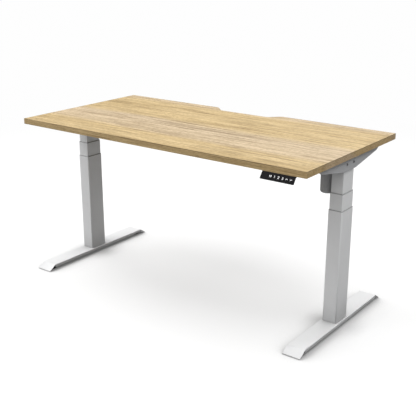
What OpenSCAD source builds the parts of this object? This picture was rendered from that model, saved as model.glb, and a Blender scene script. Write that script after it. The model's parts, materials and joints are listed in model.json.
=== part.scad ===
// Height adjustable standing desk: a board on two three-stage lifting columns.
// Millimetres, +Z up, -Y is the user's side, origin on the floor at the middle of the footprint.

/* [Desktop] */
// Width of the desktop
desk_w = 1500; // [1300:10:1800]
// Depth of the desktop
desk_d = 750; // [620:10:900]
// Thickness of the board
desk_t = 25; // [18:1:40]
// Thickness of the edge banding
band_t = 1; // [0.4:0.1:2]
// Width of the cable scallop where it meets the rear edge
scallop_w = 386; // [300:2:460]
// Width of the scallop's straight floor
scallop_floor = 246; // [160:2:280]
// Depth of the cable scallop
scallop_d = 50; // [30:1:60]

/* [Columns] */
// Distance from a column's centre to the desktop's end
leg_inset = 45; // [42:1:80]
// Distance of the columns in front of the desktop's centre line
leg_forward = 9; // [0:1:30]
// Width of the outer tube
tube_w = 63; // [60:1:76]
// Depth of the outer tube, front to back
tube_d = 95; // [82:1:114]
// Wall of every tube
tube_wall = 1.8; // [1.5:0.1:2.2]
// Gap between one tube and the next
tube_gap = 1.0; // [0.8:0.1:1.2]
// Corner radius of the outer tube
tube_corner = 5; // [3:0.5:8]
// Height of the outer tube above the foot
outer_len = 490; // [440:5:590]
// Height of the middle tube that shows in the modelled pose
mid_show = 70; // [68:1:84]
// Height of the inner tube that shows in the modelled pose
inner_show = 92; // [78:1:110]
// Height of the tapered guide collar on a tube's rim
collar_h = 3; // [2:0.5:6]
// Distance that each stage can come down from the modelled pose
stage_drop = 65; // [50:1:66]
// Distance that each stage can go up from the modelled pose
stage_rise = 257; // [200:1:280]

/* [Feet] */
// Length of a foot
foot_len = 698; // [580:2:840]
// Width of a foot
foot_w = 80; // [72:1:96]
// Height of a foot's top above the floor
foot_h = 28; // [26:1:34]
// Length of a foot's sloped end along the floor
foot_slope = 38; // [30:1:46]
// Depth of a foot's side flange
foot_flange = 14; // [10:1:17]
// Sheet thickness of the feet and brackets
sheet_t = 2.5; // [2:0.1:3]
// Radius of a levelling foot's pad
pad_r = 26; // [20:0.5:28]

/* [Brackets] */
// Length of a side bracket
bracket_len = 490; // [408:2:588]
// Width of a side bracket
bracket_w = 62; // [62:1:70]
// Height of a side bracket at the column
bracket_h = 51.5; // [50:0.5:58]
// Height of a side bracket at its tips
bracket_tip = 11; // [9:1:16]
// Distance between the two bolts in a bracket's side
bolt_gap = 56.6; // [56:0.2:58]

/* [Drive] */
// Travel of a stage for one turn of the spindle
lead = 12; // [10:1:14]
// Crest radius of the spindle
spindle_r = 6.5; // [6:0.1:6.8]
// Crest radius of the hollow screw
hollow_r = 11; // [10.8:0.1:11.4]
// Module of the gears
gear_m = 1.25; // [1.1:0.05:1.25]
// Teeth of the spindle gear
spindle_teeth = 36; // [34:2:36]
// Teeth of the idler gear
idler_teeth = 22; // [20:2:24]
// Teeth of the motor pinion
pinion_teeth = 21; // [19:2:21]
// Radius of the motor cover
cover_r = 30; // [25:0.5:30]
// Teeth of the crown on a spindle gear, and of the drive shaft's gears half as many
crown_teeth = 28; // [26:2:28]
// Wall of the motor cover
cover_wall = 2.2; // [1.5:0.1:3]
// Height of the motor cover below the bracket
cover_drop = 108; // [90:1:130]

/* [Handset] */
// Width of the handset
handset_w = 140; // [120:1:160]
// Distance from the desktop's right end to the handset's middle
handset_inset = 116; // [90:1:140]
// Length of the sloped face
face_len = 30; // [26:1:36]
// Tilt of the face above level
face_tilt = 53; // [45:1:65]
// Travel of a key
key_travel = 0.6; // [0.4:0.1:1]
// Distance between key centres
key_pitch = 17.1; // [15:0.1:17.5]

/* [Control box] */
// Length of the control box
box_w = 262; // [220:2:320]
// Depth of the control box
box_d = 96; // [80:1:110]
// Height of the control box
box_h = 38; // [34:1:44]

/* [Hidden] */
$fn = 48;
// Clearances: between sliding faces, round a shaft, and between parts that only have to be free
slide_gap = 0.3;
run_gap = 0.05;
free_gap = 0.5;

// Heights
plate_t = 6;
base_z = foot_h + plate_t;
outer_top = foot_h + outer_len;
mid_top = outer_top + mid_show;
bracket_z = mid_top + inner_show;
under_z = bracket_z + bracket_h;
mid_bottom = base_z + stage_drop + 5;
inner_bottom = mid_bottom + plate_t + stage_drop + 3;
inner_top = bracket_z + 8;

// Plan: the handset reaches in front of the desktop, and the footprint is centred on the origin
handset_reach = face_len * cos(face_tilt);
desk_y = handset_reach / 2;
front_y = desk_y - desk_d / 2;
leg_x = desk_w / 2 - leg_inset;
leg_y = desk_y - leg_forward;

// Tubes: 0 outer, 1 middle, 2 inner
function tube_inset(stage) = stage * (tube_wall + tube_gap);
corner_min = 1.2;
guide_t = tube_gap - slide_gap;
guide_len = 45;

// Screws and nuts
thread_depth = 1;
thread_land = lead * 0.45;
hollow_bore = spindle_r + 0.8;
post_r = hollow_r + 3;
mid_post_r = post_r + 3.5;
nut_grip = 15;
hollow_bottom = base_z + stage_drop + 9;
base_nut_top = hollow_bottom + stage_rise + nut_grip;
base_nut_h = 24;
ledge_z = base_nut_top + stage_drop + 3;
ledge_t = 4;
flange_t = 4;
flange_r = mid_post_r - 2.5;
lift_nut_z = ledge_z + ledge_t + flange_t + 0.6;
lift_nut_h = 24;
spindle_bottom = base_z + 2 * stage_drop + 11;
head_h = 10;
head_r = hollow_bore - 0.3;
key_w = 2.6;
key_reach = head_r + 1.1;

// Gears: the spindle gear, the idler and the motor's pinion stand in one row towards the desk's middle
function pitch_r(teeth) = gear_m * teeth / 2;
idler_x = -pitch_r(spindle_teeth) - pitch_r(idler_teeth);
motor_x = idler_x - pitch_r(idler_teeth) - pitch_r(pinion_teeth);
pressure = 20;
backlash = 0.25;
housing_z = inner_top;
housing_floor = 5;
gear_z = housing_z + housing_floor + 2;
gear_h = 8;
housing_lid_t = 3.5;
housing_top = under_z - sheet_t - 1.5;
neck_top = housing_top - 8;
housing_half = bracket_w / 2 - sheet_t - free_gap;
housing_depth = 72;
cavity_gap = 0.5;
neck_half = max(pitch_r(idler_teeth), pitch_r(pinion_teeth)) + gear_m + cavity_gap + 2.5;
neck_gap = 1.5;

// Drive shaft: it lies across both spindles, and each of its gears stands on a spindle gear's crown
crown_r = gear_m * crown_teeth / 2;
crown_face = 2.6;
crown_tooth = 0.8;
crown_h = 2.2;
shaft_teeth = crown_teeth / 2;
shaft_z = gear_z + gear_h + 0.3 + pitch_r(shaft_teeth) + gear_m;
shaft_hex_r = 4.4;
shaft_r = 5;
bearing_r = 13;
bearing_h = 8;
pinion_shaft_r = 4;
cover_bottom = bracket_z - cover_drop;
motor_r = cover_r - cover_wall - free_gap;
motor_top = housing_z;
motor_h = motor_top - cover_bottom - 9;

// Bolts
bolt_r = 2.5;
bolt_head_r = 4;
bolt_head_h = 3;
bolt_z = bracket_z + 27.5;
screw_r = 2.2;
screw_bite = 16;

// Levelling feet
pad_h = 8;
stem_r = 4;
pad_inset = 7;
insert_r = 8;
insert_h = 8;

// Crossbeams
beam_w = 25;
beam_h = 40;
beam_wall = 2;
beam_gap = 0.6;
beam_y = 62;
beam_z = under_z - beam_h - 3;
beam_plate_t = 4;
beam_overlap = 160;
beam_left_end = beam_overlap / 2;

// Handset: its face runs down and forward from the desktop's lower front edge
handset_x = desk_w / 2 - handset_inset;
handset_t = 8;
fascia_t = 2;
fascia_edge = 1;
key_w_size = key_pitch - 2.4;
key_h_size = face_len - 13;
key_r = 1.5;
key_proud = 0.5;
key_gap = 0.3;
pocket_t = fascia_t + 1 + key_travel + 0.4;
first_key_x = handset_x - handset_w / 2 + 41.5;
display_w = 26;
display_x = handset_x - handset_w / 2 + 17.5;
handset_back = 62;

// Control box
box_x = -40;
box_y = leg_y + beam_y + beam_w / 2 + 50 + box_d / 2;
box_wall = 2.2;
port_w = 14;
port_h = 8;

// Leads run under the board behind the rear beam, in two lanes either side of the clips' screws
lead_r = 2.5;
clip_x = [200, 320, 440];
lane_y = leg_y + beam_y + beam_w / 2 + 25;
lane_gap = 9;
lead_z = under_z - lead_r - 2;

left = -1;
right = 1;
front = -1;
rear = 1;

// ---------- shared shapes ----------

// Moves a part to a column's axis. Both columns are alike: the left one is turned half round,
// so local -x is always the desk's middle.
module at_leg(side) translate([side * leg_x, leg_y, 0]) rotate(side == left ? 180 : 0) children();

// Rectangle with round corners, from true circles
module round_rect(w, d, r) {
    square([w - 2 * r, d], center = true);
    square([w, d - 2 * r], center = true);
    for (x = [-1, 1], y = [-1, 1]) translate([x * (w / 2 - r), y * (d / 2 - r)]) circle(r);
}

// Section of a tube, inset from the outer tube's outside
module tube_outline(inset) round_rect(tube_w - 2 * inset, tube_d - 2 * inset,
    max(tube_corner - inset, corner_min));

module tube(stage, z0, z1) {
    translate([0, 0, z0]) linear_extrude(z1 - z0) difference() {
        tube_outline(tube_inset(stage));
        tube_outline(tube_inset(stage) + tube_wall);
    }
}

// Plastic collar on the rim of a tube, tapered to the next tube, with a sleeve for it to slide in
module guide_collar(stage, rim_z) {
    outside = tube_inset(stage);
    inside = tube_inset(stage + 1) - slide_gap;
    lip = 0.6;
    difference() {
        hull() {
            translate([0, 0, rim_z - collar_h]) linear_extrude(0.8, $fn = 32) tube_outline(outside);
            translate([0, 0, rim_z - 0.4]) linear_extrude(0.4, $fn = 32) tube_outline(inside - lip);
        }
        translate([0, 0, rim_z - 2 * collar_h]) linear_extrude(3 * collar_h) tube_outline(inside);
    }
    translate([0, 0, rim_z - guide_len]) linear_extrude(guide_len - collar_h) difference() {
        tube_outline(outside + tube_wall + run_gap);
        tube_outline(inside);
    }
}

// Band round the lower end of a tube, which slides in the tube outside it
module guide_band(stage, z0) {
    translate([0, 0, z0 + 4]) linear_extrude(30) difference() {
        tube_outline(tube_inset(stage) - guide_t);
        tube_outline(tube_inset(stage) - run_gap);
    }
}

module ring(r_out, r_in, h) difference() {
    cylinder(r = r_out, h = h);
    translate([0, 0, -1]) cylinder(r = r_in, h = h + 2);
}

// Smooth step from 0 to 1
function ease(t) = t * t * (3 - 2 * t);

// Outline of the desktop, inset by a distance, with the cable scallop in its rear edge
function scallop_side(dir, inset) = let (
        mouth = scallop_w / 2 + inset,
        floor_x = scallop_floor / 2 + inset,
        steps = 14
    ) [for (i = [0:steps]) let (t = i / steps, s = dir > 0 ? 1 - t : t)
        [dir * (floor_x + (mouth - floor_x) * s), desk_d / 2 - inset - scallop_d * (1 - ease(s))]];

function desk_outline(inset) = concat(
    [[-desk_w / 2 + inset, -desk_d / 2 + inset], [desk_w / 2 - inset, -desk_d / 2 + inset],
     [desk_w / 2 - inset, desk_d / 2 - inset]],
    scallop_side(1, inset),
    scallop_side(-1, inset),
    [[-desk_w / 2 + inset, desk_d / 2 - inset]]
);

// ---------- gears ----------

function involute(a) = tan(a) * 180 / PI - a;

// Half the angle of a tooth at radius r
function tooth_half(teeth, r) = let (
        rp = pitch_r(teeth),
        rb = rp * cos(pressure),
        half = 90 / teeth - backlash / rp * 90 / PI
    ) half + involute(pressure) - (r > rb ? involute(acos(rb / r)) : 0);

function gear_outline(teeth) = let (
        rp = pitch_r(teeth),
        root = rp - 1.25 * gear_m,
        tip = rp + gear_m,
        flank = max(rp * cos(pressure), root),
        radii = [root, for (i = [0:3]) flank + (tip - flank) * i / 3]
    ) [for (n = [0:teeth - 1]) let (mid = 360 * n / teeth) each concat(
        [for (r = radii) let (a = mid - tooth_half(teeth, r)) [r * cos(a), r * sin(a)]],
        [for (i = [len(radii) - 1:-1:0]) let (a = mid + tooth_half(teeth, radii[i]))
            [radii[i] * cos(a), radii[i] * sin(a)]]
    )];

// Gear with a tooth centred on the direction turn
module gear(teeth, turn) rotate(turn) linear_extrude(gear_h) polygon(gear_outline(teeth));

// Screw with grooves one lead apart
module grooved(r, z0, z1) {
    turns = floor((z1 - z0 - 8) / lead);
    groove = lead - thread_land;
    rotate_extrude() polygon(concat(
        [[0, z0], [r, z0]],
        [for (i = [0:turns - 1]) let (z = z0 + 4 + i * lead) each
            [[r, z], [r - thread_depth, z + groove * 0.3], [r - thread_depth, z + groove * 0.7],
             [r, z + groove]]],
        [[r, z1], [0, z1]]
    ));
}

// ---------- desktop ----------

module desktop_board() color([0.86, 0.77, 0.6]) difference() {
    translate([0, desk_y, under_z]) linear_extrude(desk_t) polygon(desk_outline(band_t));
    at_wood_screws() translate([0, 0, -1]) cylinder(r = screw_r + run_gap, h = screw_bite + 2);
}

module edge_banding() color([0.72, 0.63, 0.48]) translate([0, desk_y, under_z]) linear_extrude(desk_t)
    difference() {
        polygon(desk_outline(0));
        polygon(desk_outline(band_t));
    }

// ---------- brackets ----------

// Side view of a bracket: deep at the column, tapering to both tips
module bracket_side(grow = 0) {
    half = bracket_len / 2;
    deep = tube_d / 2 + 2;
    nose = 12;
    polygon([
        [-half, bracket_h], [half, bracket_h], [half, bracket_h - bracket_tip],
        [half - nose, bracket_h - bracket_tip - 7], [deep, -grow], [-deep, -grow],
        [nose - half, bracket_h - bracket_tip - 7], [-half, bracket_h - bracket_tip]
    ]);
}

// The bracket's side view, extruded across x from x0 to x1
module bracket_slab(x0, x1, grow = 0) translate([x0, 0, bracket_z]) rotate([90, 0, 90])
    linear_extrude(x1 - x0) bracket_side(grow);

screw_ys = [-bracket_len / 2 + 22, -bracket_len / 2 + 88, bracket_len / 2 - 88, bracket_len / 2 - 22];

module side_bracket(side) color([0.62, 0.63, 0.65]) at_leg(side) difference() {
    union() {
        bracket_slab(-bracket_w / 2, sheet_t - bracket_w / 2);
        bracket_slab(bracket_w / 2 - sheet_t, bracket_w / 2);
        translate([-bracket_w / 2, -bracket_len / 2, under_z - sheet_t])
            cube([bracket_w, bracket_len, sheet_t]);
    }
    for (y = [-1, 1]) translate([-bracket_w, y * bolt_gap / 2, bolt_z]) rotate([0, 90, 0])
        cylinder(r = bolt_r + run_gap, h = 2 * bracket_w);
    for (y = screw_ys) translate([0, y, under_z - 2 * sheet_t])
        cylinder(r = screw_r + run_gap, h = 4 * sheet_t);
    for (y = [-1, 1]) translate([-bracket_w / 2, y * beam_y, beam_z + beam_h / 2]) rotate([0, 90, 0])
        cylinder(r = bolt_r + run_gap, h = 4 * sheet_t, center = true);
    drive_window(side);
}

// Opening in the bracket's inner wall and the beams' end plate: for the drive shaft on the left,
// and for the gear housing's neck on the right
module drive_window(side) {
    depth = 4 * beam_plate_t;
    if (side == left) translate([-bracket_w / 2, 0, shaft_z]) rotate([0, 90, 0])
        cylinder(r = shaft_r + neck_gap, h = depth, center = true);
    if (side == right) translate([-(bracket_w + depth) / 2, -neck_half - neck_gap, bracket_z - 1])
        cube([depth, 2 * (neck_half + neck_gap), neck_top + neck_gap - bracket_z + 1]);
}

// ---------- crossbeams ----------

module beam(len, inset) rotate([90, 0, 90]) linear_extrude(len) difference() {
    square([beam_w - 2 * inset, beam_h - 2 * inset], center = true);
    square([beam_w - 2 * inset - 2 * beam_wall, beam_h - 2 * inset - 2 * beam_wall], center = true);
}

// Two tubes on an end plate, which bolts to the bracket's inner wall
module crossbeam(side) {
    inset = side == left ? 0 : beam_wall + beam_gap;
    wall_x = leg_x - bracket_w / 2;
    len = wall_x - beam_plate_t + beam_left_end;
    color([0.2, 0.2, 0.21]) difference() {
        translate([0, leg_y, beam_z + beam_h / 2]) {
            for (y = [-1, 1])
                translate([side == left ? beam_plate_t - wall_x : -beam_left_end, y * beam_y, 0])
                    beam(len, inset);
            translate([side * (wall_x - beam_plate_t / 2), 0, 0])
                cube([beam_plate_t, 2 * beam_y + beam_w + 10, beam_h], center = true);
        }
        for (y = [-1, 1]) translate([side * wall_x, leg_y + y * beam_y, beam_z + beam_h / 2])
            rotate([0, 90, 0]) cylinder(r = bolt_r + run_gap, h = 4 * beam_plate_t, center = true);
        for (y = [-1, 1], x = [-1, 1]) translate([x * beam_left_end * 0.5, leg_y + y * beam_y, beam_z - 1])
            cylinder(r = bolt_r + run_gap, h = beam_wall * 2 + beam_gap + 3);
        at_leg(side) {
            drive_window(side);
            for (y = [-1, 1]) translate([-bracket_w / 2, y * bolt_gap / 2, bolt_z]) rotate([0, 90, 0])
                cylinder(r = bolt_head_r + free_gap, h = 4 * beam_plate_t, center = true);
        }
    }
}

// ---------- screws and bolts ----------

module wood_screw() {
    cylinder(r = screw_r, h = screw_bite);
    translate([0, 0, -sheet_t - 2.5]) cylinder(r = 4.6, h = 2.5);
    translate([0, 0, -sheet_t]) cylinder(r = screw_r, h = sheet_t);
}

// Places of the wood screws that go up into the board, at its underside
module at_wood_screws() {
    for (side = [left, right], y = screw_ys) translate([side * leg_x, leg_y + y, under_z]) children();
    for (x = [-1, 1]) translate([box_x + x * (box_w / 2 + 8), box_y, under_z]) children();
    for (x = [-1, 1]) translate([handset_x + x * 50, front_y + handset_back - 12, under_z]) children();
    for (x = clip_x) translate([x, lane_y, under_z]) children();
}

module side_bolt(depth) rotate([0, 90, 0]) {
    cylinder(r = bolt_r, h = depth);
    translate([0, 0, -bolt_head_h]) difference() {
        cylinder(r = bolt_head_r, h = bolt_head_h);
        translate([0, 0, -1]) cylinder(r = 2, h = 2.5, $fn = 6);
    }
}

module frame_screws() color([0.1, 0.1, 0.1]) {
    at_wood_screws() wood_screw();
    for (side = [left, right], y = [-1, 1], face = [-1, 1]) at_leg(side)
        translate([face * bracket_w / 2, y * bolt_gap / 2, bolt_z]) rotate(face > 0 ? 180 : 0) side_bolt(10);
    for (side = [left, right], y = [-1, 1])
        translate([side * (leg_x - bracket_w / 2 + sheet_t), leg_y + y * beam_y, beam_z + beam_h / 2])
            rotate(side > 0 ? 180 : 0) side_bolt(sheet_t + beam_plate_t);
    for (y = [-1, 1], x = [-1, 1]) translate([x * beam_left_end * 0.5, leg_y + y * beam_y, beam_z])
        rotate([0, -90, 0]) side_bolt(beam_wall * 2 + beam_gap);
}

// ---------- columns ----------

module inner_tube(side) color([0.8, 0.81, 0.82]) at_leg(side) tube(2, inner_bottom, inner_top);

module middle_tube(side) color([0.8, 0.81, 0.82]) at_leg(side) tube(1, mid_bottom, mid_top - collar_h);

module outer_tube(side) color([0.82, 0.83, 0.84]) at_leg(side) tube(0, foot_h, outer_top - collar_h);

module middle_guide(side) color([0.75, 0.76, 0.77]) at_leg(side) {
    guide_collar(1, mid_top);
    guide_band(1, mid_bottom);
}

module outer_guide(side) color([0.75, 0.76, 0.77]) at_leg(side) guide_collar(0, outer_top);

// Plate that fills a tube's inside, with a hole in its middle
module tube_plate(stage, z0, hole_r) translate([0, 0, z0]) difference() {
    linear_extrude(plate_t) tube_outline(tube_inset(stage) + tube_wall);
    translate([0, 0, -1]) cylinder(r = hole_r, h = plate_t + 2);
}

// Plate at the column's foot, with the post that holds the lower nut
module base_post(side) color([0.5, 0.5, 0.52]) at_leg(side) {
    difference() {
        tube_plate(0, foot_h, hollow_r + 1);
        at_foot_bolts() translate([0, 0, foot_h - 1]) cylinder(r = bolt_r + run_gap, h = plate_t + 2);
    }
    translate([0, 0, base_z]) ring(post_r, hollow_r + 1, base_nut_top - base_nut_h - base_z);
    translate([0, 0, base_nut_top - base_nut_h]) ring(post_r, hollow_r + run_gap, base_nut_h);
}

// Plate and post in the middle tube, with the upper nut in the post's head
module middle_post(side) color([0.5, 0.5, 0.52]) at_leg(side) {
    inside = mid_post_r - 2;
    tube_plate(1, mid_bottom, inside);
    translate([0, 0, mid_bottom + plate_t]) ring(mid_post_r, inside, ledge_z - mid_bottom - plate_t);
    translate([0, 0, ledge_z]) ring(mid_post_r, hollow_r + run_gap, ledge_t);
    translate([0, 0, ledge_z + ledge_t]) ring(mid_post_r, inside, lift_nut_z - ledge_z - ledge_t);
    translate([0, 0, lift_nut_z]) ring(mid_post_r, spindle_r + run_gap, lift_nut_h);
}

// Hollow screw that hangs in the middle post and turns with the spindle inside it
module hollow_screw(side) color([0.72, 0.73, 0.75]) at_leg(side) difference() {
    union() {
        grooved(hollow_r, hollow_bottom, ledge_z + ledge_t);
        translate([0, 0, ledge_z + ledge_t + 0.2]) cylinder(r = flange_r, h = flange_t);
        translate([0, 0, ledge_z]) cylinder(r = hollow_r, h = ledge_t + 0.3);
    }
    translate([0, 0, hollow_bottom - 1]) cylinder(r = hollow_bore, h = ledge_z - hollow_bottom + 20);
    translate([0, 0, hollow_bottom - 1]) linear_extrude(ledge_z - hollow_bottom + 20)
        square([2 * key_reach + 0.6, key_w + 0.6], center = true);
}

module spindle(side) color([0.7, 0.71, 0.73]) at_leg(side) {
    grooved(spindle_r, spindle_bottom + head_h, housing_z - 4);
    translate([0, 0, spindle_bottom]) {
        cylinder(r = head_r, h = head_h);
        linear_extrude(head_h) square([2 * key_reach, key_w], center = true);
    }
    translate([0, 0, housing_z - 4]) cylinder(r = spindle_r, h = gear_z - housing_z + 4);
    translate([0, 0, gear_z]) gear(spindle_teeth, 180 / spindle_teeth);
    for (n = [0:crown_teeth - 1]) rotate((n + 0.5) * 360 / crown_teeth)
        translate([crown_r - crown_face / 2, -crown_tooth / 2, gear_z + gear_h - 1])
            cube([crown_face, crown_tooth, crown_h + 1]);
    translate([0, 0, gear_z + gear_h]) cylinder(r = spindle_r, h = 4);
}

// Hexagonal shaft between the columns, with a round journal and a gear at each end
module drive_shaft() color([0.7, 0.71, 0.73]) translate([0, leg_y, shaft_z]) {
    gear_from = crown_r + gear_h / 2;
    hex_end = leg_x + motor_x - neck_half - 8;
    translate([-hex_end, 0, 0]) rotate([0, 90, 0]) cylinder(r = shaft_hex_r, h = 2 * hex_end, $fn = 6);
    for (side = [left, right]) rotate(side == left ? 180 : 0) {
        translate([hex_end - 4, 0, 0]) rotate([0, 90, 0])
            cylinder(r = shaft_r, h = leg_x - gear_from - hex_end + 4);
        translate([leg_x - gear_from, 0, 0]) rotate([0, 90, 0]) gear(shaft_teeth, 0);
    }
}

module idler_gear() color([0.9, 0.88, 0.8]) at_leg(right) translate([idler_x, 0, gear_z]) difference() {
    gear(idler_teeth, 0);
    translate([0, 0, -1]) cylinder(r = pinion_shaft_r + run_gap, h = gear_h + 2);
}

module motor_pinion() color([0.7, 0.71, 0.73]) at_leg(right) translate([motor_x, 0, 0]) {
    translate([0, 0, gear_z]) gear(pinion_teeth, 180 / pinion_teeth);
    translate([0, 0, motor_top - 12]) cylinder(r = pinion_shaft_r, h = gear_z - motor_top + 12);
}

// Casting on top of the inner tube: a block in the bracket. The right one has a neck over the gear train,
// with the motor's round flange under its end
module gear_housing(side) color([0.25, 0.25, 0.26]) at_leg(side) difference() {
    floor_z = housing_z + housing_floor;
    union() {
        translate([-housing_half, -housing_depth / 2, housing_z])
            cube([2 * housing_half, housing_depth, housing_top - housing_z]);
        if (side == right) {
            translate([motor_x, -neck_half, housing_z]) cube([-motor_x, 2 * neck_half, neck_top - housing_z]);
            translate([motor_x, 0, housing_z]) cylinder(r = neck_half, h = neck_top - housing_z);
            translate([motor_x, 0, housing_z]) cylinder(r = cover_r, h = housing_floor);
        }
    }
    translate([0, 0, floor_z])
        cylinder(r = pitch_r(spindle_teeth) + gear_m + cavity_gap, h = housing_top - housing_lid_t - floor_z);
    if (side == right) {
        for (g = [[idler_x, idler_teeth], [motor_x, pinion_teeth]]) translate([g[0], 0, floor_z])
            cylinder(r = pitch_r(g[1]) + gear_m + cavity_gap, h = gear_z + gear_h + 1 - floor_z);
        translate([motor_x, 0, housing_z - 1]) cylinder(r = pinion_shaft_r + free_gap, h = housing_floor + 2);
    }
    translate([0, 0, housing_z - 1]) cylinder(r = bearing_r + run_gap, h = bearing_h);
    translate([motor_x - 2 * neck_half, 0, shaft_z]) rotate([0, 90, 0])
        cylinder(r = shaft_r + run_gap, h = 2 * neck_half - motor_x - crown_r);
    for (y = [-1, 1]) translate([-bracket_w, y * bolt_gap / 2, bolt_z]) rotate([0, 90, 0])
        cylinder(r = bolt_r + run_gap, h = 2 * bracket_w);
}

// Bearings of the spindles, and the idler's pin with its spacer
module spindle_bearings() color([0.75, 0.76, 0.78]) {
    floor_z = housing_z + housing_floor;
    for (side = [left, right]) at_leg(side) translate([0, 0, housing_z])
        ring(bearing_r, spindle_r + run_gap, bearing_h - 1);
    at_leg(right) translate([idler_x, 0, floor_z]) {
        cylinder(r = pinion_shaft_r + 3, h = gear_z - floor_z - slide_gap);
        cylinder(r = pinion_shaft_r, h = gear_z + gear_h + 1 - floor_z);
    }
}

// ---------- motor ----------

module motor() color([0.35, 0.35, 0.37]) at_leg(right) translate([motor_x, 0, 0]) difference() {
    translate([0, 0, motor_top - motor_h]) cylinder(r = motor_r, h = motor_h);
    translate([0, 0, motor_top - 13]) cylinder(r = pinion_shaft_r + run_gap, h = 20);
}

// Half of a cup's section: flat floor, round lower edge, upright wall
module cup_half(r, floor_z, rim_z, round_r) {
    translate([0, floor_z]) square([r - round_r, rim_z - floor_z]);
    translate([0, floor_z + round_r]) square([r, rim_z - floor_z - round_r]);
    intersection() {
        translate([r - round_r, floor_z + round_r]) circle(round_r);
        translate([r - round_r, floor_z]) square(round_r);
    }
}

module motor_cover() color([0.55, 0.56, 0.58]) at_leg(right) translate([motor_x, 0, 0]) difference() {
    round_r = 9;
    rotate_extrude() difference() {
        cup_half(cover_r, cover_bottom, housing_z, round_r);
        cup_half(cover_r - cover_wall, cover_bottom + cover_wall, housing_z + 1, round_r - cover_wall);
    }
    translate([-cover_r, 0, bracket_z - 6]) rotate([0, 90, 0])
        cylinder(r = lead_r + slide_gap, h = 4 * cover_wall, center = true);
}

// ---------- feet ----------

// Side view of a foot's sheet: flat top with two sloped ends
module foot_profile() {
    half = foot_len / 2;
    bend = half - foot_slope;
    fall = foot_h - sheet_t - 1.5;
    polygon([
        [-half, foot_h - sheet_t - fall], [-bend, foot_h - sheet_t], [bend, foot_h - sheet_t],
        [half, foot_h - sheet_t - fall], [half, foot_h - fall], [bend, foot_h], [-bend, foot_h],
        [-half, foot_h - fall]
    ]);
}

// Section of a foot between the bends: a top with rounded folds and two flanges
module foot_section() {
    fold = 4;
    half = foot_w / 2;
    difference() {
        translate([0, foot_h - fold]) union() {
            translate([-half, -foot_flange + fold]) square([foot_w, foot_flange - fold]);
            translate([fold - half, 0]) square([foot_w - 2 * fold, fold]);
            for (x = [-1, 1]) intersection() {
                translate([x * (half - fold), 0]) circle(fold);
                translate([-half, 0]) square([foot_w, fold]);
            }
        }
        translate([sheet_t - half, foot_h - foot_flange - 1])
            square([foot_w - 2 * sheet_t, foot_flange + 1 - sheet_t]);
    }
}

// Places of the levelling feet along a foot
function pad_y(end) = end * (foot_len / 2 - foot_slope - pad_inset);

module at_foot_bolts() for (x = [-1, 1], y = [-1, 1]) translate([x * 18, y * 32, 0]) children();

module foot(side) color([0.88, 0.88, 0.89]) difference() {
    at_leg(side) {
        bend = foot_len / 2 - foot_slope;
        rotate([90, 0, 90]) translate([0, 0, -foot_w / 2]) linear_extrude(foot_w) difference() {
            foot_profile();
            translate([-bend, 0]) square([2 * bend, foot_h + 1]);
        }
        translate([0, bend, 0]) rotate([90, 0, 0]) linear_extrude(2 * bend) foot_section();
        for (end = [front, rear]) translate([0, pad_y(end), foot_h - sheet_t - insert_h])
            ring(insert_r, stem_r + run_gap, insert_h);
    }
    at_leg(side) {
        for (end = [front, rear]) translate([0, pad_y(end), pad_h])
            cylinder(r = stem_r + run_gap, h = foot_h - sheet_t - pad_h);
        at_foot_bolts() cylinder(r = bolt_r + run_gap, h = foot_h + 1);
    }
}

module foot_bolts(side) color([0.15, 0.15, 0.16]) at_leg(side) at_foot_bolts() {
    head_z = foot_h - sheet_t - bolt_head_h;
    translate([0, 0, head_z + bolt_head_h]) cylinder(r = bolt_r, h = sheet_t + plate_t);
    translate([0, 0, head_z]) difference() {
        cylinder(r = bolt_head_r, h = bolt_head_h);
        translate([0, 0, -1]) cylinder(r = 2, h = 2.5, $fn = 6);
    }
}

module leveller(side, end) color([0.08, 0.08, 0.08]) translate([side * leg_x, leg_y + pad_y(end), 0])
    rotate_extrude() polygon([
        [0, 0], [pad_r - 1, 0], [pad_r, 1], [pad_r, pad_h - 2], [pad_r - 3, pad_h],
        [stem_r, pad_h], [stem_r, foot_h - sheet_t - 2], [0, foot_h - sheet_t - 2]
    ]);

// ---------- handset ----------

// Moves a part into the face's own frame: x along the desk, y up the slope, z out of the face
module on_face() translate([0, front_y, under_z - 0.8]) rotate([face_tilt, 0, 0])
    translate([0, -face_len / 2, 0]) children();

// Side view of the handset's slim panel
module panel_side() {
    tip = [-face_len * cos(face_tilt), -0.8 - face_len * sin(face_tilt)];
    back = [handset_t / sin(face_tilt), 0];
    heel = tip + [handset_t * sin(face_tilt) + 2, 1.6 - handset_t * cos(face_tilt)];
    polygon([[0, 0], [0, -0.8], tip, tip + [1.2, -2], tip + [3.6, -2.6], heel, back]);
}

// Side view of the mount behind the panel
module mount_side() polygon([
    [2, 0], [-face_len * cos(face_tilt) / 2, -face_len * sin(face_tilt) / 2 - 5],
    [-7, 3 - face_len * sin(face_tilt)], [handset_back - 6, -6], [handset_back, -3], [handset_back, 0]
]);

module handset_body() color([0.07, 0.07, 0.08]) difference() {
    mount_w = handset_w - 24;
    union() {
        translate([handset_x - handset_w / 2, front_y, under_z]) rotate([90, 0, 90])
            linear_extrude(handset_w) panel_side();
        translate([handset_x - mount_w / 2, front_y, under_z]) rotate([90, 0, 90])
            linear_extrude(mount_w) mount_side();
    }
    translate([handset_x, 0, 0]) on_face() translate([0, 0, -fascia_t])
        linear_extrude(10) square([handset_w - 2 * fascia_edge, face_len - 2 * fascia_edge], center = true);
    translate([handset_x, 0, 0]) on_face() translate([0, 0, -pocket_t])
        linear_extrude(10) square([handset_w - 8, face_len - 9], center = true);
    for (x = [-1, 1]) translate([handset_x + x * 50, front_y + handset_back - 12, under_z - 20]) {
        cylinder(r = screw_r + run_gap, h = 30);
        cylinder(r = 4.6 + free_gap, h = 20 - sheet_t);
    }
}

function key_x(n) = first_key_x + n * key_pitch;

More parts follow.
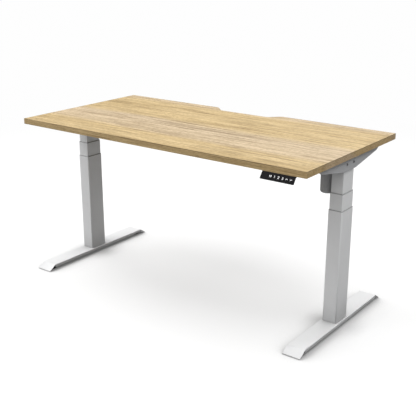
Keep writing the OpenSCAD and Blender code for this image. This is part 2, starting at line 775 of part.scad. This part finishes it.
module handset_fascia() color([0.03, 0.03, 0.035]) on_face() difference() {
    translate([handset_x, 0, -fascia_t]) linear_extrude(fascia_t) square(
        [handset_w - 2 * fascia_edge, face_len - 2 * fascia_edge], center = true);
    for (n = [0:5]) translate([key_x(n), 0, -fascia_t - 1]) linear_extrude(fascia_t + 2)
        round_rect(key_w_size + 2 * key_gap, key_h_size + 2 * key_gap, key_r + key_gap);
    translate([display_x, 0, -1]) linear_extrude(2) square([display_w, key_h_size], center = true);
}

module handset_display() color([0.1, 0.1, 0.12]) on_face() translate([display_x, 0, -1])
    linear_extrude(1) square([display_w, key_h_size], center = true);

module key(n) color([0.1, 0.1, 0.11]) on_face() translate([key_x(n), 0, -fascia_t - 1])
    linear_extrude(fascia_t + 1 + key_proud) round_rect(key_w_size, key_h_size, key_r);

// ---------- control box and leads ----------

module control_box_base() color([0.13, 0.13, 0.14]) translate([box_x, box_y, 0]) difference() {
    union() {
        translate([-box_w / 2, -box_d / 2, under_z - sheet_t]) cube([box_w, box_d, sheet_t]);
        translate([-box_w / 2 - 18, -14, under_z - sheet_t]) cube([box_w + 36, 28, sheet_t]);
        for (x = [-1, 1], y = [-1, 1])
            translate([x * (box_w / 2 - 18), y * (box_d / 2 - 16), under_z - sheet_t - 8])
                cylinder(r = 4, h = 8);
    }
    for (x = [-1, 1]) translate([x * (box_w / 2 + 8), 0, under_z - 2 * sheet_t])
        cylinder(r = screw_r + run_gap, h = 20);
}

module control_box_cover() color([0.13, 0.13, 0.14]) translate([box_x, box_y, under_z - box_h]) difference() {
    linear_extrude(box_h - sheet_t) round_rect(box_w, box_d, 5);
    translate([0, 0, box_wall]) linear_extrude(box_h)
        round_rect(box_w - 2 * box_wall, box_d - 2 * box_wall, 3);
    translate([-30, -box_d / 2 - 1, 12]) for (n = [0:2]) translate([n * 30 - port_w / 2, 0, 0])
        cube([port_w, box_wall + 2, port_h]);
    translate([box_w / 2 - 50, box_d / 2 - box_wall - 1, 6]) cube([28, box_wall + 2, 21]);
    for (n = [-5:5]) translate([n * 9 - 40, 0, -1]) linear_extrude(box_wall + 2)
        square([3, 40], center = true);
}

module control_board() color([0.1, 0.35, 0.2]) translate([box_x, box_y, under_z - sheet_t - 8 - 1.6]) {
    translate([-box_w / 2 + 10, -box_d / 2 + 7, 0]) cube([box_w - 20, box_d - 32, 1.6]);
    translate([-70, 10, -14]) cylinder(r = 9, h = 14);
    translate([-45, 10, -14]) cylinder(r = 9, h = 14);
    translate([-5, -6, -12]) cube([34, 28, 12]);
    translate([-30, 0, 0]) for (n = [0:2]) translate([n * 30 - port_w / 2, -box_d / 2 + 7, -port_h - 2])
        cube([port_w, 16, port_h + 2]);
}

module mains_inlet() color([0.05, 0.05, 0.05])
    translate([box_x + box_w / 2 - 50, box_y + box_d / 2 - box_wall - 14, under_z - box_h + 6]) difference() {
        union() {
            translate([free_gap, 0, free_gap]) cube([28 - 2 * free_gap, 14 + box_wall, 21 - 2 * free_gap]);
            translate([-4, 14 + box_wall, -3]) cube([36, 2, 27]);
        }
        translate([4, 6, 4]) cube([20, 20, 13]);
    }

// Round lead swept along points by a tube of eight sides, for routes that stay near level
function unit(v) = v / norm(v);
function heading(p, i) = let (a = p[max(i - 1, 0)], b = p[min(i + 1, len(p) - 1)]) unit(b - a);
module lead_tube(p, r, sides = 8) {
    rings = [for (i = [0:len(p) - 1]) let (d = heading(p, i), s = unit(cross(d, [0, 0, 1])), u = cross(s, d))
        for (k = [0:sides - 1]) p[i] + r * (cos(360 * k / sides) * s + sin(360 * k / sides) * u)];
    count = len(p);
    polyhedron(rings, concat(
        [[for (k = [0:sides - 1]) k]],
        [for (i = [0:count - 2], k = [0:sides - 1]) let (a = i * sides + k, b = i * sides + (k + 1) % sides)
            [b, a, a + sides, b + sides]],
        [[for (k = [sides - 1:-1:0]) (count - 1) * sides + k]]
    ));
}

// Points of a smooth curve through its knots
function smooth(k, steps = 3) = concat([for (i = [0:len(k) - 2], j = [0:steps - 1]) let (
        t = j / steps, a = k[max(i - 1, 0)], b = k[i], c = k[i + 1], d = k[min(i + 2, len(k) - 1)]
    ) 0.5 * (2 * b + (c - a) * t + (2 * a - 5 * b + 4 * c - d) * t * t
        + (3 * b - a - 3 * c + d) * t * t * t)],
    [k[len(k) - 1]]);

port_y = box_y - box_d / 2;
port_z = under_z - box_h + 12 + port_h / 2;
below_beams = beam_z - lead_r - 3;
function port(n) = box_x - 30 + 30 * n;

// Knots along a lane
function lane(xs, y) = [for (x = xs) [x, y, lead_z]];

module handset_lead() color([0.06, 0.06, 0.06]) lead_tube(smooth(concat([
    [handset_x, front_y + handset_back - 1, under_z - 4.5],
    [handset_x, front_y + handset_back + 20, under_z - 6],
    [handset_x - 8, leg_y - beam_y - 70, under_z - 22], [handset_x - 30, leg_y - beam_y - 14, below_beams],
    [handset_x - 64, leg_y, below_beams], [handset_x - 100, leg_y + beam_y - 10, below_beams],
    [handset_x - 114, leg_y + beam_y + 22, below_beams],
    [handset_x - 136, lane_y - lane_gap - 2, under_z - 22]],
    lane([470, 440, 400, 320, 200, 120, 60], lane_y - lane_gap),
    [[-10, lane_y - 8, port_z + 4], [port(1), port_y - 16, port_z], [port(1), port_y + 3, port_z]]
)), lead_r);

// The motor's lead: out of its cover, under the rear beam, along the rear lane and into the box
module motor_lead() color([0.06, 0.06, 0.06]) lead_tube(smooth(concat(
    [for (k = [[2, 0, bracket_z - 6], [-20, 0, bracket_z - 6], [-40, 24, below_beams - 4],
               [-50, beam_y - 12, below_beams - 1], [-60, beam_y + 22, below_beams],
               [-82, beam_y + 38, under_z - 27]])
        [leg_x + motor_x - cover_r + k[0], leg_y + k[1], k[2]]],
    lane([500, 470, 440, 320, 200, 100, 36], lane_y + lane_gap),
    [[port(2) + 12, port_y - 18, port_z + 3], [port(2), port_y - 6, port_z], [port(2), port_y + 3, port_z]]
)), lead_r);

module lead_clips() color([0.9, 0.9, 0.9]) for (x = clip_x) translate([x, lane_y, under_z]) difference() {
    union() {
        translate([-5, -14, -sheet_t]) cube([10, 28, sheet_t]);
        for (y = [-1, 1]) translate([-5, y * lane_gap - lead_r - 1.5, lead_z - under_z - lead_r - 1.5])
            cube([10, 2 * lead_r + 3, 2 * lead_r + 2.5]);
    }
    for (y = [-1, 1]) translate([-10, y * lane_gap, lead_z - under_z]) rotate([0, 90, 0])
        cylinder(r = lead_r + slide_gap, h = 20);
    translate([0, 0, -20]) cylinder(r = screw_r + run_gap, h = 30);
}

desktop_board();
edge_banding();
side_bracket(left);  // side_bracket_left
side_bracket(right);  // side_bracket_right
crossbeam(left);  // crossbeam_left
crossbeam(right);  // crossbeam_right
frame_screws();
spindle_bearings();
control_box_base();
control_box_cover();
control_board();
mains_inlet();
handset_body();
handset_fascia();
handset_display();
handset_lead();
motor_lead();
lead_clips();
key(0);  // key_memory
key(1);  // key_preset_1
key(2);  // key_preset_2
key(3);  // key_preset_3
key(4);  // key_up
key(5);  // key_down
inner_tube(left);  // inner_tube_left
inner_tube(right);  // inner_tube_right
gear_housing(left);  // gear_housing_left
gear_housing(right);  // gear_housing_right
motor();
motor_cover();
motor_pinion();
idler_gear();
drive_shaft();
spindle(left);  // spindle_left
spindle(right);  // spindle_right
hollow_screw(left);  // hollow_screw_left
hollow_screw(right);  // hollow_screw_right
middle_tube(left);  // middle_tube_left
middle_tube(right);  // middle_tube_right
middle_post(left);  // middle_post_left
middle_post(right);  // middle_post_right
middle_guide(left);  // middle_guide_left
middle_guide(right);  // middle_guide_right
outer_tube(left);  // outer_tube_left
outer_tube(right);  // outer_tube_right
outer_guide(left);  // outer_guide_left
outer_guide(right);  // outer_guide_right
base_post(left);  // base_post_left
base_post(right);  // base_post_right
foot(left);  // foot_left
foot(right);  // foot_right
foot_bolts(left);  // foot_bolts_left
foot_bolts(right);  // foot_bolts_right
leveller(left, front);  // leveller_front_left
leveller(left, rear);  // leveller_rear_left
leveller(right, front);  // leveller_front_right
leveller(right, rear);  // leveller_rear_right
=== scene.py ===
"""Height adjustable standing desk: looks, floor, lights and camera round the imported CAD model.

Metres, +Z up, -Y towards the user. The desktop's grain runs along X.
"""

import json
import math

import bpy
import bmesh
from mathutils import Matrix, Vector


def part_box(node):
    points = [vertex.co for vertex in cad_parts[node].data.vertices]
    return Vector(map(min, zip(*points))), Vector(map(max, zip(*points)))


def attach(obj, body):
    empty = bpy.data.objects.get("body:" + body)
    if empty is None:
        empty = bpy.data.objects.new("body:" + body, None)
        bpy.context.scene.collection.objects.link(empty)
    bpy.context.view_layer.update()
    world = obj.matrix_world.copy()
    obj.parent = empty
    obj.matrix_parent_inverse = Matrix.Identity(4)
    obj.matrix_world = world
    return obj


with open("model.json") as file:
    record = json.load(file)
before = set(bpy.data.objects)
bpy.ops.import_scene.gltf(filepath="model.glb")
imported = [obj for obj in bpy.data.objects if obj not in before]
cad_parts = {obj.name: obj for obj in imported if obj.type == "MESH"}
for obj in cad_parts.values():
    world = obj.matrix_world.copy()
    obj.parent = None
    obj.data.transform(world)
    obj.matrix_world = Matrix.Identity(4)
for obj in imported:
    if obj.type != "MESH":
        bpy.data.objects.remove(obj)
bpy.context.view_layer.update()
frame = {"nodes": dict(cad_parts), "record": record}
scene = bpy.context.scene

# ---------------------------------------------------------------- materials

# Colour sockets of the Mix node, which has one set for each data type
MIX_FACTOR = 0
MIX_A = 6
MIX_B = 7
MIX_RESULT = 2
# Rays that test how open a point is
OPEN_SAMPLES = 8


class Graph:
    """Short calls for building one material's node graph round a Principled shader."""

    def __init__(self, name):
        self.material = bpy.data.materials.new(name)
        self.material.use_nodes = True
        self.nodes = self.material.node_tree.nodes
        self.links = self.material.node_tree.links
        self.shader = self.nodes["Principled BSDF"]
        self.place = None

    def set(self, **values):
        """Constants on the shader's own sockets; underscores stand for spaces."""
        for key, value in values.items():
            self.shader.inputs[key.replace("_", " ")].default_value = value

    def add(self, kind, inputs=None, **settings):
        """New node, with each input set to a value or linked to another node's output."""
        node = self.nodes.new(kind)
        for key, value in settings.items():
            setattr(node, key, value)
        for key, value in (inputs or {}).items():
            self.plug(node.inputs[key], value)
        return node

    def plug(self, socket, value):
        if hasattr(value, "links"):
            self.links.new(value, socket)
        else:
            socket.default_value = value

    def coords(self, scale=(1, 1, 1), offset=(0, 0, 0)):
        """Object coordinates, stretched."""
        if self.place is None:
            self.place = self.add("ShaderNodeTexCoord").outputs["Object"]
        stretch = {"Vector": self.place, "Scale": scale, "Location": offset}
        return self.add("ShaderNodeMapping", stretch).outputs["Vector"]

    def height(self):
        """Height above the floor."""
        return self.add("ShaderNodeSeparateXYZ", {"Vector": self.coords()}).outputs["Z"]

    def noise(self, where, scale, detail=2.0, rough=0.5, distortion=0.0):
        return self.add("ShaderNodeTexNoise", {
            "Vector": where, "Scale": scale, "Detail": detail, "Roughness": rough, "Distortion": distortion
        }).outputs["Fac"]

    def ramp(self, fac, stops):
        """Colour by position, from a list of (position, colour)."""
        node = self.add("ShaderNodeValToRGB", {"Fac": fac})
        ramp = node.color_ramp
        while len(ramp.elements) < len(stops):
            ramp.elements.new(0.5)
        for element, (position, colour) in zip(ramp.elements, stops):
            element.position = position
            element.color = (*colour, 1)
        return node.outputs["Color"]

    def span(self, value, low, high, to_low, to_high):
        return self.add("ShaderNodeMapRange", {
            "Value": value, "From Min": low, "From Max": high, "To Min": to_low, "To Max": to_high
        }).outputs["Result"]

    def math(self, operation, a, b=0.0):
        return self.add("ShaderNodeMath", {0: a, 1: b}, operation=operation).outputs[0]

    def mix(self, factor, a, b, blend="MIX"):
        node = self.add("ShaderNodeMix", data_type="RGBA", blend_type=blend)
        for socket, value in ((MIX_FACTOR, factor), (MIX_A, a), (MIX_B, b)):
            if isinstance(value, tuple) and len(value) == 3:
                value = (*value, 1)
            self.plug(node.inputs[socket], value)
        return node.outputs[MIX_RESULT]

    def openness(self, reach):
        """How open the surface is within this reach: 1 in the open, towards 0 in corners."""
        return self.add("ShaderNodeAmbientOcclusion", {"Distance": reach}, samples=OPEN_SAMPLES).outputs["AO"]

    def bump(self, height, distance, strength=1.0):
        node = self.add("ShaderNodeBump", {"Height": height, "Distance": distance, "Strength": strength})
        self.links.new(node.outputs[0], self.shader.inputs["Normal"])

    def colour(self, value):
        self.plug(self.shader.inputs["Base Color"], value)

    def roughness(self, value):
        self.plug(self.shader.inputs["Roughness"], value)


def grey(value):
    """Neutral colour; above 1 it brightens what it multiplies."""
    return (value, value, value)


desk_low, desk_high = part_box("desktop_board")
# Height of the darker band along the top of the edge banding
ARRIS_DEPTH = 0.003


def oak(name, tint=(1, 1, 1), fine=1.0, streaked=0.88, arris=1.0):
    """Light oak melamine: golden and pinkish staves, brown grain lines and short pores, all long in X.

    fine narrows the grain, streaked is how strong its streaks are, and arris darkens the top of an edge.
    """
    g = Graph(name)

    def stretched(length, across, offset=(0, 0, 0)):
        return g.coords((length, across * fine, across * fine), offset)

    bands = g.noise(stretched(0.5, 12.0), 1.0, 2.0, 0.5, 0.5)
    drift = g.noise(stretched(0.9, 4.0, (5, 3, 0)), 1.0, 3.0, 0.55, 0.3)
    streaks = g.noise(stretched(2.0, 66.0, (3, 1, 0)), 1.0, 3.0, 0.6, 1.2)
    lines = g.noise(stretched(6.0, 150.0, (7, 2, 1)), 1.0, 3.0, 0.65, 0.8)
    flecks = g.noise(stretched(55.0, 230.0, (2, 4, 3)), 1.0, 2.0, 0.6)
    pores = g.noise(stretched(22.0, 700.0, (1, 5, 2)), 1.0, 2.0, 0.5)
    across = g.add("ShaderNodeSeparateXYZ", {"Vector": g.coords()}).outputs["Y"]
    wander = g.span(drift, 0.3, 0.7, -0.035, 0.035)
    stave = g.math("ADD", g.span(across, desk_low.y, desk_high.y, 0, 1), wander)
    pink = g.ramp(stave, [(0.17, grey(0)), (0.23, grey(0.8)), (0.46, grey(1)), (0.52, grey(0)),
                          (0.90, grey(0)), (0.96, grey(0.8))])
    golden = g.ramp(bands, [(0.34, (0.42, 0.31, 0.15)), (0.46, (0.485, 0.365, 0.19)),
                            (0.58, (0.51, 0.39, 0.21)), (0.70, (0.45, 0.335, 0.17))])
    pinkish = g.ramp(bands, [(0.36, (0.455, 0.36, 0.24)), (0.6, (0.52, 0.415, 0.285))])
    dark = g.ramp(streaks, [(0.34, (0.6, 0.55, 0.47)), (0.45, (0.9, 0.88, 0.85)),
                            (0.54, (1.04, 1.04, 1.04)), (0.68, (1.16, 1.16, 1.18))])
    thin = g.ramp(lines, [(0.36, (0.5, 0.45, 0.37)), (0.47, (0.93, 0.92, 0.9)), (0.62, (1.12, 1.12, 1.12))])
    dashes = g.ramp(flecks, [(0.36, (0.72, 0.68, 0.6)), (0.48, (0.98, 0.98, 0.97)),
                             (0.64, (1.1, 1.1, 1.1))])
    specks = g.ramp(pores, [(0.30, (0.55, 0.49, 0.4)), (0.42, (1, 1, 1))])
    body = g.mix(pink, golden, pinkish)
    for strength, grain in ((streaked, dark), (0.85, thin), (0.8, dashes), (0.6, specks)):
        body = g.mix(strength, body, grain, "MULTIPLY")
    if arris < 1:
        top = g.span(g.height(), desk_high.z - ARRIS_DEPTH, desk_high.z - ARRIS_DEPTH / 2, 0, 1)
        body = g.mix(top, body, g.mix(1.0, body, grey(arris), "MULTIPLY"))
    g.colour(g.mix(1.0, body, tint, "MULTIPLY"))
    g.roughness(g.span(lines, 0.3, 0.7, 0.45, 0.58))
    g.set(IOR=1.45, Specular_IOR_Level=0.35)
    height = g.math("ADD", g.math("MULTIPLY", pores, 0.7), g.math("MULTIPLY", lines, 0.6))
    g.bump(height, 0.00025, 0.5)
    return g.material


# Painted shade on the paint near other pieces: how near, and by how much in the deepest corner
SHADE_REACH = 0.16
SHADE = 0.45


def paint(name, colour, rough=0.42):
    """Powder coat: fine orange peel, slow changes of tone and gloss, and painted shade near other pieces."""
    g = Graph(name)
    where = g.coords()
    slow = g.noise(where, 5.0, 3.0)
    peel = g.noise(where, 900.0, 2.0, 0.6)
    dust = g.noise(where, 60.0, 5.0, 0.65)
    low = tuple(c * 0.965 for c in colour)
    high = tuple(min(c * 1.03, 1) for c in colour)
    tone = g.mix(g.span(slow, 0.3, 0.7, 0, 1), low, high)
    # Painted shade: the colour is darkened where other pieces close the surface in
    shaded = g.mix(1.0, tone, grey(SHADE), "MULTIPLY")
    tone = g.mix(g.span(g.openness(SHADE_REACH), 0.35, 0.95, 0, 1), shaded, tone)
    g.colour(g.mix(g.span(dust, 0.55, 0.8, 0, 0.07), tone, tuple(c * 0.8 for c in colour)))
    g.roughness(g.span(dust, 0.3, 0.7, rough - 0.05, rough + 0.07))
    g.set(Coat_Weight=0.15, Coat_Roughness=0.35)
    g.bump(peel, 0.00006, 0.6)
    return g.material


def plastic(name, colour, rough=0.5, grain=0.00008, scale=1400.0, shine=0.5):
    """Moulded plastic: spark-eroded grain of this depth and scale, and slight sheen changes."""
    g = Graph(name)
    where = g.coords()
    fine = g.noise(where, scale, 2.0, 0.55)
    slow = g.noise(where, 14.0, 3.0)
    low = tuple(c * 0.93 for c in colour)
    high = tuple(min(c * 1.06, 1) for c in colour)
    g.colour(g.mix(g.span(slow, 0.3, 0.7, 0, 1), low, high))
    g.roughness(g.span(slow, 0.3, 0.7, rough - 0.05, rough + 0.06))
    g.set(IOR=1.5, Specular_IOR_Level=shine)
    g.bump(fine, grain, 0.6)
    return g.material


def metal(name, colour, rough=0.32, brushed=(1, 1, 1), depth=0.00004):
    """Machined or cast metal, with its brush lines stretched along one axis."""
    g = Graph(name)
    lines = g.noise(g.coords(brushed), 500.0, 4.0, 0.6)
    slow = g.noise(g.coords(), 20.0, 4.0)
    g.colour(g.mix(g.span(slow, 0.3, 0.7, 0, 1), tuple(c * 0.88 for c in colour), colour))
    g.roughness(g.span(lines, 0.3, 0.7, rough - 0.08, rough + 0.1))
    g.set(Metallic=1.0)
    g.bump(lines, depth, 0.5)
    return g.material


def rubber(name, colour=(0.02, 0.02, 0.02), rough=0.7):
    return plastic(name, colour, rough, 0.00015, 700.0)


def board_green(name):
    """Circuit board laminate: solder mask over a faint grid of tracks."""
    g = Graph(name)
    tracks = g.add("ShaderNodeTexBrick", {
        "Vector": g.coords(), "Scale": 90.0, "Mortar Size": 0.02,
        "Color1": (0.02, 0.16, 0.07, 1), "Color2": (0.03, 0.2, 0.09, 1), "Mortar": (0.1, 0.3, 0.12, 1)})
    g.colour(tracks.outputs["Color"])
    g.roughness(0.35)
    return g.material


SLOTS = {
    "light_oak": oak("light_oak_melamine"),
    # The edge banding's tint brightens it a little: painted light that lifts its faces, which lie in shade
    "oak_edge": oak("oak_edge_band", (1.04, 1.0, 0.96), fine=2.4, streaked=0.5, arris=0.55),
    "frame_paint": paint("silver_powder_coat", (0.80, 0.805, 0.81)),
    "bracket_paint": paint("bracket_powder_coat", (0.46, 0.464, 0.475)),
    "beam_paint": paint("black_powder_coat", (0.025, 0.025, 0.027)),
    "cover_plastic": plastic("motor_cover_plastic", (0.41, 0.414, 0.422)),
    "guide_plastic": plastic("guide_plastic", (0.36, 0.362, 0.366)),
    "black_plastic": plastic("black_plastic", (0.01, 0.01, 0.011), 0.5, shine=0.08),
    "black_gloss": plastic("gloss_black", (0.004, 0.004, 0.005), 0.2, 0.000005, 300.0, shine=0.06),
    "key_plastic": plastic("key_plastic", (0.007, 0.007, 0.008), 0.35, shine=0.06),
    "lead_jacket": rubber("lead_jacket", (0.015, 0.015, 0.016), 0.5),
    "rubber": rubber("rubber"),
    "clip_plastic": plastic("clip_nylon", (0.62, 0.61, 0.57), 0.4),
    "zinc_steel": metal("zinc_steel", (0.32, 0.32, 0.33), 0.42),
    "bare_steel": metal("machined_steel", (0.56, 0.57, 0.59), 0.28, (1, 1, 6)),
    "housing_metal": metal("cast_aluminium", (0.5, 0.51, 0.53), 0.5, (1, 1, 1), 0.0001),
    "gear_nylon": plastic("gear_nylon", (0.72, 0.68, 0.55), 0.4),
    "circuit_board": board_green("circuit_board"),
    "motor_can": paint("motor_enamel", (0.03, 0.03, 0.033), 0.3),
}

# Edge rounding in metres by slot; the slots left out keep the CAD mesh as it is
ROUNDING = {"light_oak": 0.0004, "oak_edge": 0.0003, "frame_paint": 0.0007, "bracket_paint": 0.0006,
            "beam_paint": 0.0006, "guide_plastic": 0.0004, "black_plastic": 0.0006, "black_gloss": 0.0003,
            "key_plastic": 0.0004, "housing_metal": 0.0008, "cover_plastic": 0.0006, "rubber": 0.0006}
# Edges sharper than the first angle are rounded; faces flatter than the second are joined
EDGE_ANGLE = math.radians(35)
FLAT_ANGLE = math.radians(0.5)
# Slots whose thin ring faces keep their triangles
RINGS = {"guide_plastic"}
WELD_DISTANCE = 1e-6


def round_edges(piece, slot):
    """Small bevels on the sharp edges, with flat faces joined first so that their shading stays even."""
    piece.modifiers.new("weld", "WELD").merge_threshold = WELD_DISTANCE
    if slot not in RINGS:
        flat = piece.modifiers.new("flat", "DECIMATE")
        flat.decimate_type = "DISSOLVE"
        flat.angle_limit = FLAT_ANGLE
    bevel = piece.modifiers.new("bevel", "BEVEL")
    bevel.width = ROUNDING[slot]
    bevel.segments = 2
    bevel.limit_method = "ANGLE"
    bevel.angle_limit = EDGE_ANGLE
    bevel.harden_normals = True
    bevel.use_clamp_overlap = True


for part in frame["record"]["subparts"]:
    node = frame["nodes"][part["node"]]
    node.data.materials.clear()
    node.data.materials.append(SLOTS[part["material_slot"]])
    if part["material_slot"] in ROUNDING:
        round_edges(node, part["material_slot"])

# ---------------------------------------------------------------- handset markings

top_low, top_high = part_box("edge_banding")
# The sloped face starts just under the banding's lower front edge and goes down and back
FACE_TILT = math.radians(53)
FACE_DROP = 0.0008
FACE_MIDDLE = 0.015
KEY_PROUD = 0.0005
# Thickness of the ink, and what share of it each stroke lies above the one before
INK = 0.00008
STEP_UP = 0.03


def face_point(x, up, out):
    """Point near the handset's sloped face: x along the desk, up from its middle line, out of the face."""
    along = up - FACE_MIDDLE
    return Vector((x, top_low.y + along * math.cos(FACE_TILT) - out * math.sin(FACE_TILT),
                   top_low.z - FACE_DROP + along * math.sin(FACE_TILT) + out * math.cos(FACE_TILT)))


def stroke_mesh(name, lines, width, place, height):
    """Flat raised strokes: each segment is a thin slab, and no two tops lie in one plane.

    place(x, y, z) gives the world position of a point of the drawing.
    """
    shape = bmesh.new()
    top = height
    for line in lines:
        for (ax, ay), (bx, by) in zip(line, line[1:]):
            top += height * STEP_UP
            length = math.hypot(bx - ax, by - ay)
            ux = (bx - ax) / length * width / 2
            uy = (by - ay) / length * width / 2
            corners = [(ax - ux - uy, ay - uy + ux), (ax - ux + uy, ay - uy - ux),
                       (bx + ux + uy, by + uy - ux), (bx + ux - uy, by + uy + ux)]
            low = [shape.verts.new(place(x, y, 0)) for x, y in corners]
            high = [shape.verts.new(place(x, y, top)) for x, y in corners]
            shape.faces.new(low[::-1])
            shape.faces.new(high)
            for i in range(4):
                shape.faces.new((low[i], low[(i + 1) % 4], high[(i + 1) % 4], high[i]))
    bmesh.ops.recalc_face_normals(shape, faces=shape.faces)
    mesh = bpy.data.meshes.new(name)
    shape.to_mesh(mesh)
    shape.free()
    piece = bpy.data.objects.new(name, mesh)
    scene.collection.objects.link(piece)
    return piece


def bow(cx, cy, radius, start, end, steps=8):
    """Points along an arc, with its angles in degrees."""
    angles = [math.radians(start + (end - start) * i / steps) for i in range(steps + 1)]
    return [(cx + radius * math.cos(angle), cy + radius * math.sin(angle)) for angle in angles]


# Marks in a box one unit high, centred on the key
MARKS = {
    "key_memory": [[(-0.42, -0.5), (-0.42, 0.5), (0, -0.15), (0.42, 0.5), (0.42, -0.5)]],
    "key_preset_1": [[(-0.2, 0.3), (0.02, 0.5), (0.02, -0.5)]],
    "key_preset_2": [bow(0, 0.22, 0.28, 165, -35) + [(-0.3, -0.5), (0.32, -0.5)]],
    "key_preset_3": [bow(-0.02, 0.25, 0.25, 150, -80) + bow(-0.02, -0.23, 0.28, 80, -150)],
    "key_up": [[(-0.45, -0.22), (0, 0.25), (0.45, -0.22)]],
    "key_down": [[(-0.45, 0.22), (0, -0.25), (0.45, 0.22)]],
}
MARK_HEIGHT = 0.0082
MARK_WIDTH = 0.0015
ink = plastic("white_ink", (0.95, 0.95, 0.95), 0.5)
for key, lines in MARKS.items():
    low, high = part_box(key)
    middle = (low.x + high.x) / 2
    scaled = [[(x * MARK_HEIGHT, y * MARK_HEIGHT) for x, y in line] for line in lines]
    mark = stroke_mesh("mark_" + key, scaled, MARK_WIDTH,
                       lambda x, y, z, middle=middle: face_point(middle + x, y, KEY_PROUD + z), INK)
    mark.data.materials.append(ink)
    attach(mark, key)

# ---------------------------------------------------------------- camera, floor and light

SENSOR = 36.0
LENS = 66.2
VIEW_AZIMUTH = math.radians(36.99)
VIEW_ELEVATION = math.radians(18.69)
VIEW_DISTANCE = 3.497
desk_y = (top_low.y + top_high.y) / 2
target = Vector((0.033, desk_y, 0.3767))

camera = bpy.data.objects.new("camera", bpy.data.cameras.new("camera"))
camera.data.sensor_width = SENSOR
camera.data.lens = LENS
camera.data.clip_end = 100
level = math.cos(VIEW_ELEVATION)
back = Vector((math.sin(VIEW_AZIMUTH) * level, -math.cos(VIEW_AZIMUTH) * level, math.sin(VIEW_ELEVATION)))
camera.location = target + back * VIEW_DISTANCE
camera.rotation_euler = back.to_track_quat("Z", "Y").to_euler()
scene.collection.objects.link(camera)
scene.camera = camera

FLOOR_SIZE = 60.0
floor_mesh = bpy.data.meshes.new("floor")
half = FLOOR_SIZE / 2
corners = [(-half, -half, 0), (half, -half, 0), (half, half, 0), (-half, half, 0)]
floor_mesh.from_pydata(corners, [], [(0, 1, 2, 3)])
floor = bpy.data.objects.new("floor", floor_mesh)
scene.collection.objects.link(floor)
# The floor's tone to the camera and to bounced light, and its own glow near the desk and far away
FLOOR_SEEN = 0.5
FLOOR_BOUNCE = 0.3
FLOOR_LIFT = 0.47
FADE_START = 1.3
FADE_END = 4.0
# Painted shade in the floor's glow under the whole desk and close to the feet: reach in metres, and tone
# where it is deepest
CONTACT_REACH = 0.6
CONTACT_TONE = 0.38
CONTACT_OPEN = 0.99
TOUCH_REACH = 0.12
TOUCH_START = 0.75
TOUCH_TONE = 0.35
g = Graph("floor")
seen = g.add("ShaderNodeLightPath").outputs["Is Camera Ray"]
away = g.add("ShaderNodeVectorMath", {0: g.coords()}, operation="LENGTH").outputs["Value"]
far = g.span(away, FADE_START, FADE_END, 0, 1)
under_desk = g.span(g.openness(CONTACT_REACH), 0, 1, CONTACT_TONE, CONTACT_OPEN)
by_feet = g.span(g.openness(TOUCH_REACH), TOUCH_START, 1, TOUCH_TONE, 1)
open_floor = g.math("MULTIPLY", under_desk, by_feet)
g.colour(g.mix(seen, grey(FLOOR_BOUNCE), g.mix(far, grey(FLOOR_SEEN), grey(0.0))))
# Painted shade: the glow the camera sees is dimmed under the desk and beside the feet
lift = g.math("MULTIPLY", g.span(far, 0, 1, FLOOR_LIFT, 1.0), open_floor)
g.plug(g.shader.inputs["Emission Strength"], g.math("MULTIPLY", seen, lift))
g.set(Roughness=0.95, Specular_IOR_Level=0.0, Emission_Color=(1, 1, 1, 1))
# Clear from below, so that the underside can be looked at
under = g.add("ShaderNodeNewGeometry").outputs["Backfacing"]
clear = g.add("ShaderNodeBsdfTransparent").outputs[0]
either = g.add("ShaderNodeMixShader", {0: under, 1: g.shader.outputs[0], 2: clear}).outputs[0]
g.links.new(either, g.nodes["Material Output"].inputs["Surface"])
floor_mesh.materials.append(g.material)

# Studio surround: bright overhead and dim near the horizon, and plain white where the camera sees it
SKY_TOP = 0.62
SKY_LOW = 0.27
SKY_LOW_RISE = 0.05
SKY_TOP_RISE = 0.9
world = bpy.data.worlds.new("studio")
world.use_nodes = True
nodes, links = world.node_tree.nodes, world.node_tree.links
direction = nodes.new("ShaderNodeTexCoord")
parts = nodes.new("ShaderNodeSeparateXYZ")
links.new(direction.outputs["Generated"], parts.inputs[0])
rise = nodes.new("ShaderNodeMapRange")
links.new(parts.outputs["Z"], rise.inputs["Value"])
rise.inputs["From Min"].default_value = SKY_LOW_RISE
rise.inputs["From Max"].default_value = SKY_TOP_RISE
rise.inputs["To Min"].default_value = SKY_LOW
rise.inputs["To Max"].default_value = SKY_TOP
path = nodes.new("ShaderNodeLightPath")
choice = nodes.new("ShaderNodeMix")
choice.data_type = "FLOAT"
links.new(path.outputs["Is Camera Ray"], choice.inputs[0])
links.new(rise.outputs["Result"], choice.inputs[2])
choice.inputs[3].default_value = 1.0
nodes["Background"].inputs[0].default_value = (1, 1, 1, 1)
links.new(choice.outputs[0], nodes["Background"].inputs[1])
scene.world = world
scene.view_settings.view_transform = "Standard"


def softbox(name, place, aim, size, watts):
    """Square soft light that faces the point it is aimed at."""
    light = bpy.data.objects.new(name, bpy.data.lights.new(name, "AREA"))
    light.data.shape = "SQUARE"
    light.data.size = size
    light.data.energy = watts
    light.location = place
    light.rotation_euler = (Vector(place) - Vector(aim)).to_track_quat("Z", "Y").to_euler()
    scene.collection.objects.link(light)


softbox("right_high", (2.3, -0.3, 3.9), (0.3, 0, 0.3), 2.6, 72)
softbox("left_high", (-2.3, -0.3, 3.9), (-0.3, 0, 0.3), 2.6, 96)
softbox("front_high", (-1.3, -3.1, 3.5), (0, 0, 0.3), 2.4, 48)
softbox("rear_high", (0, 2.6, 3.8), (0, 0, 0.3), 2.6, 60)
softbox("left_front", (-3.2, -3.6, 1.5), (0, 0, 0.4), 2.2, 20)
